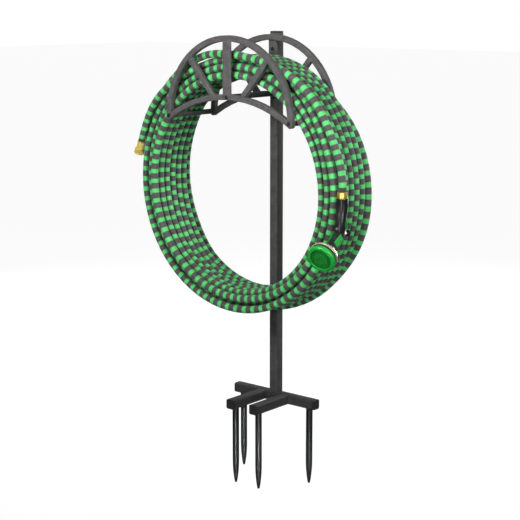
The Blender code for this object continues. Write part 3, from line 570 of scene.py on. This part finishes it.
def blended(tree, share, first, second):
    # the colour sockets share their names with others of this node, so they are taken by number
    mix = nodeIn(tree, "ShaderNodeMix", data_type="RGBA")
    factor, before, after = (mix.inputs[k] for k in (0, 6, 7))
    tree.links.new(share, factor)
    for socket, value in ((before, first), (after, second)):
        if isinstance(value, bpy.types.NodeSocket):
            tree.links.new(value, socket)
        else:
            socket.default_value = (*value, 1.0)
    return mix.outputs[2]


def newPaint(name):
    paint = bpy.data.materials.new(name)
    paint.use_nodes = True
    return paint, paint.node_tree, paint.node_tree.nodes["Principled BSDF"]


def addBump(tree, shader, height, strength, depth):
    bump = nodeIn(tree, "ShaderNodeBump", {"Height": height, "Strength": strength, "Distance": depth})
    tree.links.new(bump.outputs["Normal"], shader.inputs["Normal"])


def buildFinish(name, look, effect):
    paint, tree, shader = newPaint(name)
    grain = grouped(tree, grainGroup, Fine_Scale=look["grain"], Coarse_Scale=look["clouds"])
    wear = grouped(tree, wearGroup, Amount=look["wear"], Scale=effect["chipScale"])
    dust = grouped(tree, dustGroup, Amount=look["dust"], Scale=effect["dustScale"])
    dark = tuple(c * (1 - look["variation"]) for c in look["colour"])
    light = tuple(min(1.0, c * (1 + look["variation"])) for c in look["colour"])
    base = blended(tree, grain.outputs["Mask"], dark, light)
    base = blended(tree, wear.outputs["Mask"], base, look["wornColour"])
    base = blended(tree, dust.outputs["Mask"], base, effect["dustColour"])
    tree.links.new(base, shader.inputs["Base Color"])
    gloss = rangeIn(tree, grain.outputs["Mask"], after=look["roughness"])
    dusty = mathIn(tree, "MULTIPLY_ADD", dust.outputs["Mask"], effect["dustRoughness"], gloss, clamp=True)
    tree.links.new(dusty, shader.inputs["Roughness"])
    addBump(tree, shader, grain.outputs["Height"], look["bump"], effect["bumpDepth"])
    shader.inputs["Metallic"].default_value = look["metallic"]
    for socket, value in look["shader"].items():
        shader.inputs[socket].default_value = value
    return paint


finishes = {name: buildFinish(name, look, effectSettings) for name, look in finishSettings.items()}

sleeveSettings = {
    # lengths along the hose are in metres, and colours are (red, green, blue)
    "bandLength": 0.0300, "greenShare": 0.43, "bandDrift": 0.055, "driftScale": 2.1, "driftDetail": 1.0,
    "edgeStep": 0.0005, "edgeSoft": 0.02, "yarnsAround": 28.0, "yarnsPerMetre": 410.0,
    "green": (0.122, 0.810, 0.208), "grey": (0.100, 0.089, 0.094), "darkGreen": 0.86, "darkGrey": 0.82,
    # the groove values paint shade between the yarns, taking the colour toward near black
    "grain": 1500.0, "clouds": 24.0, "grooveRange": (0.15, 0.75), "grooveDark": 0.28,
    # the crease values paint shade where turns touch, taking the colour toward near black
    "grooveColour": (0.01, 0.012, 0.01), "creaseDark": 0.94, "creaseColour": (0.004, 0.005, 0.004),
    # roughness in the grooves and on top of the yarns
    "roughness": (0.72, 0.52), "bump": 0.5, "bumpDepth": 0.0006,
    "shader": {"Specular IOR Level": 0.35, "Sheen Weight": 0.15},
}


def buildYarns(tree, around, along, look):
    # the wave of the yarns that lean one way, and the height of both kinds where they cross
    turns = mathIn(tree, "MULTIPLY", around, look["yarnsAround"])
    runs = mathIn(tree, "MULTIPLY", along, look["yarnsPerMetre"])
    waves = []
    for kind in ("ADD", "SUBTRACT"):
        angle = mathIn(tree, "MULTIPLY", mathIn(tree, kind, turns, runs), math.tau)
        waves.append(mathIn(tree, "SINE", angle))
    left, right = waves
    return left, mathIn(tree, "MULTIPLY_ADD", mathIn(tree, "MAXIMUM", left, right), 0.5, 0.5)


def buildBands(tree, along, left, look):
    # the sleeve is stretched here and crowded there, and its yarns step the edges of the bands
    drift = nodeIn(tree, "ShaderNodeTexNoise", {
        "W": along, "Scale": look["driftScale"], "Detail": look["driftDetail"]}, noise_dimensions="1D")
    shifted = mathIn(tree, "MULTIPLY_ADD", drift.outputs["Fac"], look["bandDrift"], along)
    stepped = mathIn(tree, "MULTIPLY_ADD", left, look["edgeStep"], shifted)
    cycle = mathIn(tree, "FRACT", mathIn(tree, "DIVIDE", stepped, look["bandLength"]))
    fromMiddle = mathIn(tree, "ABSOLUTE", mathIn(tree, "SUBTRACT", cycle, 0.5))
    half, soft = look["greenShare"] / 2, look["edgeSoft"]
    return rangeIn(tree, fromMiddle, (half + soft, half - soft))


def buildHoseFinish(look):
    # bands across the hose, and the crossing yarns of its woven sleeve
    paint, tree, shader = newPaint("wovenHose")
    place = nodeIn(tree, "ShaderNodeUVMap", uv_map="hoseLine")
    parts = nodeIn(tree, "ShaderNodeSeparateXYZ", {"Vector": place.outputs["UV"]})
    along = parts.outputs["Y"]
    left, yarn = buildYarns(tree, parts.outputs["X"], along, look)
    green = buildBands(tree, along, left, look)
    grain = grouped(tree, grainGroup, Fine_Scale=look["grain"], Coarse_Scale=look["clouds"])
    darkGrey = tuple(c * look["darkGrey"] for c in look["grey"])
    darkGreen = tuple(c * look["darkGreen"] for c in look["green"])
    greyPart = blended(tree, grain.outputs["Mask"], darkGrey, look["grey"])
    greenPart = blended(tree, grain.outputs["Mask"], darkGreen, look["green"])
    base = blended(tree, green, greyPart, greenPart)
    # painted shade: the colour goes toward near black in the grooves between the yarns
    groove = rangeIn(tree, yarn, look["grooveRange"], (look["grooveDark"], 0.0))
    base = blended(tree, groove, base, look["grooveColour"])
    # painted shade: the colour goes toward near black between touching turns, as deep as the attribute
    # says
    between = nodeIn(tree, "ShaderNodeAttribute", attribute_name="crease")
    shade = rangeIn(tree, between.outputs["Fac"], after=(0.0, look["creaseDark"]))
    base = blended(tree, shade, base, look["creaseColour"])
    tree.links.new(base, shader.inputs["Base Color"])
    tree.links.new(rangeIn(tree, yarn, after=look["roughness"]), shader.inputs["Roughness"])
    addBump(tree, shader, yarn, look["bump"], look["bumpDepth"])
    for socket, value in look["shader"].items():
        shader.inputs[socket].default_value = value
    return paint


gardenHose.data.materials.append(buildHoseFinish(sleeveSettings))
print("finishes mixed:", len(finishes) + 1)


# CAD nodes, with softened edges and smooth rounds

slotFinishes = {
    "frame_coat": "powderCoat", "black_plastic": "blackCap", "dark_steel": "blackScrew",
    "brass": "brightBrass", "gold_ring": "paleGold", "green_plastic": "nozzleGreen",
    "grey_plastic": "buttonGrey", "rubber": "washerRubber",
}
ownFinishes = {
    # finishes that some nodes have in place of their slot's; the base's and the fans' coats are darker and
    # lighter copies of the frame's coat, painted shade and painted light
    "nozzle_body": "gripBlack", "inlet_nut": "shadedBrass", "inlet_ferrule": "shadedBrass",
    "spike": "spikeBlack", "base_cross_bar": "baseCoat", "base_finger": "baseCoat",
    "hoop": "cradleCoat", "arc": "cradleCoat", "spoke": "cradleCoat", "centre_bar": "cradleCoat",
}
fuller = {
    # how far each piece stands out past its solid, because the photograph's bars are thicker
    "spike": 0.0012, "hoop": 0.0007, "arc": 0.0006, "spoke": 0.0006, "centre_bar": 0.0006,
    "strut": 0.0006, "base": 0.0015, "plug": 0.0015, "post_cap": 0.0006, "post_lower": 0.0006,
    "post_upper": 0.0006,
}
screwHeads = {
    # the way that each button head faces
    "cradle_screw_front": (0, -1, 0), "cradle_screw_rear": (0, 1, 0), "cradle_bolt_upper": (0, -1, 0),
    "cradle_bolt_lower": (0, 1, 0), "joiner_screw": (0, 1, 0), "socket_screw": (0, 1, 0),
}
softening = {
    # how far an edge is rounded, and the sharpest turn that is shaded smooth, in degrees
    "hoop": (0.00045, 40), "arc": (0.00045, 40), "spoke": (0.00045, 40), "centre_bar": (0.0004, 40),
    "base": (0.0003, 50), "post": (0.0003, 50), "plug": (0.0005, 50), "spike": (0.0, 40),
    "strut": (0.0003, 40), "screw": (0.00018, 30), "bolt": (0.00018, 30), "coupling": (0.0004, 30),
    "nut": (0.0003, 30), "ferrule": (0.00025, 30), "nozzle_body": (0.0005, 40),
    "inlay": (0.0004, 30), "gasket": (0.0004, 30), "lever": (0.0004, 35), "button": (0.0003, 30),
}
nodeSettings = {
    # corners nearer than mergeWithin become one, and faces that turn less than flatUnder are joined
    "mergeWithin": 0.000005, "flatUnder": 0.5, "postWidth": 0.028,
    # an edge is rounded where it turns more than the smooth angle less edgeSlack
    "edgeSegments": 2, "edgeSlack": 4, "plainEdge": (0.0, 35),
}
socketSettings = {
    # the flat top of a button head is found first; rim is the share of its radius that is left
    # round the socket, and lean is how far the socket's walls draw in
    "facing": 0.95, "flatWithin": 0.0002, "rim": 0.42, "lean": 0.00012, "depth": 0.0014,
}


def deselectAll():
    for thing in bpy.context.selected_objects:
        thing.select_set(False)


def makeActive(piece):
    deselectAll()
    piece.select_set(True)
    bpy.context.view_layer.objects.active = piece


def selectFaces(piece, wanted):
    # leaves the piece in edit mode with just these faces selected
    bpy.ops.object.mode_set(mode="EDIT")
    bpy.ops.mesh.select_mode(type="FACE")
    bpy.ops.mesh.select_all(action="DESELECT")
    bpy.ops.object.mode_set(mode="OBJECT")
    for face in piece.data.polygons:
        face.select = wanted(face)
    bpy.ops.object.mode_set(mode="EDIT")


def valueFor(node, table, otherwise):
    # of the first key that the node's name holds
    return next((value for key, value in table.items() if key in node), otherwise)


def thicken(node, amount, settings):
    # the post's two lengths keep their ends, so that the joint between them still shows
    if node in ("post_lower", "post_upper"):
        wider = 1 + 2 * amount / settings["postWidth"]
        bpy.ops.transform.resize(value=(wider, wider, 1), center_override=(0, 0, 0))
    else:
        bpy.ops.transform.shrink_fatten(value=amount, use_even_offset=True)


def sinkSocket(piece, outward, socket):
    # the driver's recess in the middle of a button head
    bpy.ops.object.mode_set(mode="OBJECT")
    outward = Vector(outward)
    facing = [face for face in piece.data.polygons if face.normal.dot(outward) > socket["facing"]]
    top = max(face.center.dot(outward) for face in facing)
    flat = [face for face in facing if face.center.dot(outward) > top - socket["flatWithin"]]
    corners = [piece.data.vertices[v].co for face in flat for v in face.vertices]
    middle = sum(corners, Vector()) / len(corners)
    radius = max((corner - middle).length for corner in corners)
    chosen = {face.index for face in flat}
    selectFaces(piece, lambda face: face.index in chosen)
    bpy.ops.mesh.inset(thickness=radius * socket["rim"], use_even_offset=True)
    bpy.ops.mesh.inset(thickness=socket["lean"], depth=-socket["depth"])
    bpy.ops.mesh.select_mode(type="VERT")
    bpy.ops.mesh.select_all(action="SELECT")


def copiedNode(source, node):
    # a copy with its own mesh, free of the node's marks
    piece = source.copy()
    piece.data = source.data.copy()
    for key in list(piece.keys()):
        del piece[key]
    piece.parent = None
    piece.matrix_world = Matrix.Identity(4)
    bpy.context.scene.collection.objects.link(piece)
    first, *rest = node.split("_")
    piece.name = first + "".join(word.capitalize() for word in rest) + "Piece"
    piece.data.name = piece.name
    return piece


def softenEdges(piece, material, width, angle, settings):
    # the rounded edges take a second slot for a moment, and are marked as rubbed by it
    piece.data.materials.clear()
    piece.data.materials.append(material)
    piece.data.materials.append(material)
    if width:
        bevel = piece.modifiers.new("softEdges", "BEVEL")
        bevel.width = width
        bevel.segments = settings["edgeSegments"]
        bevel.limit_method = "ANGLE"
        bevel.angle_limit = math.radians(angle - settings["edgeSlack"])
        bevel.material = 1
        bpy.ops.object.modifier_apply(modifier=bevel.name)
    mesh = piece.data
    rub = mesh.attributes.new("rub", "FLOAT", "FACE")
    rub.data.foreach_set("value", [float(face.material_index == 1) for face in mesh.polygons])
    mesh.polygons.foreach_set("material_index", [0] * len(mesh.polygons))
    mesh.materials.pop(index=1)


def finishNode(node, material, settings):
    source = frame["nodes"][node]
    coat = valueFor(node, fuller, 0.0)
    outward = valueFor(node, screwHeads, None)
    width, angle = valueFor(node, softening, settings["plainEdge"])
    piece = copiedNode(source, node)
    makeActive(piece)
    bpy.ops.object.mode_set(mode="EDIT")
    bpy.ops.mesh.select_all(action="SELECT")
    bpy.ops.mesh.remove_doubles(threshold=settings["mergeWithin"])
    bpy.ops.mesh.customdata_custom_splitnormals_clear()
    bpy.ops.mesh.dissolve_limited(angle_limit=math.radians(settings["flatUnder"]))
    if coat:
        thicken(node, coat, settings)
    if outward:
        sinkSocket(piece, outward, socketSettings)
    bpy.ops.object.mode_set(mode="OBJECT")
    softenEdges(piece, material, width, angle, settings)
    bpy.ops.object.shade_smooth_by_angle(angle=math.radians(angle))
    weigh = piece.modifiers.new("evenShading", "WEIGHTED_NORMAL")
    weigh.keep_sharp = True
    bpy.ops.object.modifier_apply(modifier=weigh.name)
    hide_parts(node)
    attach(piece, source["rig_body"])
    return piece


# the nozzle's head

headSettings = {
    # metres and degrees
    "nozzlePlace": (0.382, -0.193, 0.6865), "nozzleYaw": 9.5,
    "facePlace": (0.0, -0.122, -0.163), "headTilt": 24.0,
    "sides": 64, "dialSmooth": 35, "smooth": 40,
    # radius and place along the head's axis, from the front of the face
    "dialOutline": [
        (0.0290, -0.0056), (0.0290, -0.0012), (0.0295, -0.0003), (0.0305, 0.0001), (0.0330, -0.0002),
        (0.0355, -0.0012), (0.0376, -0.0028), (0.0388, -0.0050), (0.0391, -0.0072), (0.0391, -0.0106),
        (0.0387, -0.0110), (0.0232, -0.0110), (0.0232, -0.0056)],
    "faceOutline": [
        (0.0272, -0.0054), (0.0272, -0.0032), (0.0268, -0.0028), (0.0234, -0.0028), (0.0232, -0.0048),
        (0.0220, -0.0048), (0.0218, -0.0028), (0.0174, -0.0028), (0.0172, -0.0022), (0.0168, -0.0020),
        (0.0098, -0.0020), (0.0096, -0.0046), (0.0084, -0.0046), (0.0082, -0.0026), (0.0010, -0.0026)],
    # a black ring in the gap round the plate, a painted shadow
    "sealOutline": [(0.0274, -0.0054), (0.0274, -0.0042), (0.0289, -0.0038), (0.0289, -0.0054)],
    "bellOutline": [
        (0.0376, -0.0174), (0.0390, -0.0176), (0.0396, -0.0188), (0.0396, -0.0225), (0.0388, -0.0258),
        (0.0370, -0.0288), (0.0338, -0.0316), (0.0296, -0.0342), (0.0256, -0.0364), (0.0244, -0.0368),
        (0.0244, -0.0356), (0.0296, -0.0290), (0.0294, -0.0262), (0.0232, -0.0260), (0.0232, -0.0174)],
    # rings of jets: radius and count
    "jets": [(0.0046, 6), (0.0132, 12), (0.0196, 18), (0.0250, 24)],
    "jetRadius": 0.0014, "jetHeight": 0.0018, "jetSides": 14, "jetTaper": 0.8,
    "boreRadius": 0.0007, "boreLean": 0.00005, "boreDepth": 0.0010,
    # where the jets stand, and the share of their height that is sunk in the plate
    "jetFoot": -0.0030, "jetSunk": 0.1,
    # how squarely a face has to look along the axis to be a jet's end
    "endFacing": 0.9,
}


def headPlace(head):
    turned = Matrix.Rotation(math.radians(head["nozzleYaw"]), 4, "Z")
    tilted = Matrix.Rotation(math.radians(90 + head["headTilt"]), 4, "X")
    nozzle = Matrix.Translation(head["nozzlePlace"]) @ turned
    return nozzle @ Matrix.Translation(head["facePlace"]) @ tilted


def selectOpenEdges():
    bpy.ops.mesh.select_all(action="DESELECT")
    bpy.ops.mesh.select_mode(type="EDGE")
    bpy.ops.mesh.select_non_manifold()


def drawnOut(name, outline, sides, closed):
    # a circle, drawn out ring by ring along the outline
    deselectAll()
    (radius, height), *rest = outline
    bpy.ops.mesh.primitive_circle_add(vertices=sides, radius=radius, location=(0, 0, height))
    piece = bpy.context.object
    piece.name = name
    bpy.ops.object.transform_apply(location=True)
    bpy.ops.object.mode_set(mode="EDIT")
    bpy.ops.mesh.select_all(action="SELECT")
    for nextRadius, nextHeight in rest:
        step = (0, 0, nextHeight - height)
        bpy.ops.mesh.extrude_edges_move(TRANSFORM_OT_translate={"value": step})
        share = nextRadius / radius
        bpy.ops.transform.resize(value=(share, share, 1), center_override=(0, 0, nextHeight))
        radius, height = nextRadius, nextHeight
    if closed:
        # the last ring is joined to the first
        selectOpenEdges()
        bpy.ops.mesh.bridge_edge_loops()
    else:
        # the last ring is filled in, then the first
        bpy.ops.mesh.edge_face_add()
        selectOpenEdges()
        bpy.ops.mesh.edge_face_add()
    bpy.ops.mesh.select_all(action="SELECT")
    bpy.ops.mesh.normals_make_consistent(inside=False)
    bpy.ops.mesh.select_mode(type="VERT")
    bpy.ops.object.mode_set(mode="OBJECT")
    return piece


def buildJet(head):
    # one soft nub with its bore
    deselectAll()
    bpy.ops.mesh.primitive_cylinder_add(
        vertices=head["jetSides"], radius=head["jetRadius"], depth=head["jetHeight"])
    jet = bpy.context.object
    jet.name = "jetNub"
    taper = head["jetTaper"]
    selectFaces(jet, lambda face: face.normal.z > head["endFacing"])
    bpy.ops.transform.resize(value=(taper, taper, 1))
    bpy.ops.mesh.inset(thickness=head["jetRadius"] * taper - head["boreRadius"])
    bpy.ops.mesh.inset(thickness=head["boreLean"], depth=-head["boreDepth"])
    bpy.ops.mesh.select_mode(type="VERT")
    bpy.ops.object.mode_set(mode="OBJECT")
    return jet


def buildJets(head):
    # rings of nubs on the plate, joined into one piece
    jet = buildJet(head)
    height = head["jetFoot"] + head["jetHeight"] * (0.5 - head["jetSunk"])
    nubs = []
    for radius, count in head["jets"]:
        for k in range(count):
            turn = math.tau * k / count
            nub = jet.copy()
            nub.data = jet.data.copy()
            nub.location = (radius * math.cos(turn), radius * math.sin(turn), height)
            bpy.context.scene.collection.objects.link(nub)
            nubs.append(nub)
    bpy.data.objects.remove(jet)
    makeActive(nubs[0])
    for nub in nubs:
        nub.select_set(True)
    bpy.ops.object.join()
    bpy.ops.object.transform_apply(location=True)
    nubs[0].name = "sprayJets"
    print("jets joined:", len(nubs))
    return nubs[0]


def finishHeadPiece(piece, material, place, replaced, body, angle):
    piece.matrix_world = place
    makeActive(piece)
    bpy.ops.object.transform_apply(location=True, rotation=True, scale=True)
    piece.data.materials.clear()
    piece.data.materials.append(material)
    # left at zero, as the head has no rubbed edges
    piece.data.attributes.new("rub", "FLOAT", "FACE")
    bpy.ops.object.shade_smooth_by_angle(angle=math.radians(angle))
    if replaced:
        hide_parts(replaced)
    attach(piece, body)


def buildHead(head):
    # the jets ride with the plate, and so does the black ring that paints the shadow in the gap round the
    # plate
    place, sides, smooth = headPlace(head), head["sides"], head["smooth"]
    dialBody = frame["nodes"]["pattern_dial"]["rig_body"]
    faceBody = frame["nodes"]["spray_face"]["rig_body"]
    ringBody = frame["nodes"]["head_ring"]["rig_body"]
    dial = drawnOut("sprayDial", head["dialOutline"], sides, closed=True)
    green, dialSmooth = finishes["nozzleGreen"], head["dialSmooth"]
    finishHeadPiece(dial, green, place, "pattern_dial", dialBody, dialSmooth)
    face = drawnOut("sprayPlate", head["faceOutline"], sides, closed=False)
    jets = buildJets(head)
    shadeRing = drawnOut("plateSeal", head["sealOutline"], sides, closed=True)
    finishHeadPiece(jets, finishes["jetDark"], place, None, faceBody, smooth)
    finishHeadPiece(shadeRing, finishes["washerRubber"], place, None, faceBody, smooth)
    finishHeadPiece(face, finishes["jetGreen"], place, "spray_face", faceBody, smooth)
    bell = drawnOut("goldBell", head["bellOutline"], sides, closed=True)
    finishHeadPiece(bell, finishes["paleGold"], place, "head_ring", ringBody, smooth)
    print("head turned: dial, plate, seal and bell")


buildHead(headSettings)

# everything else is its solid, softened; these four have been made anew above
remade = {"hose_coil", "pattern_dial", "spray_face", "head_ring"}
slotOf = {entry["node"]: entry["material_slot"] for entry in frame["record"]["subparts"]}
for node, slotName in sorted(slotOf.items()):
    if node in remade:
        continue
    look = finishes[valueFor(node, ownFinishes, slotFinishes[slotName])]
    finishNode(node, look, nodeSettings)
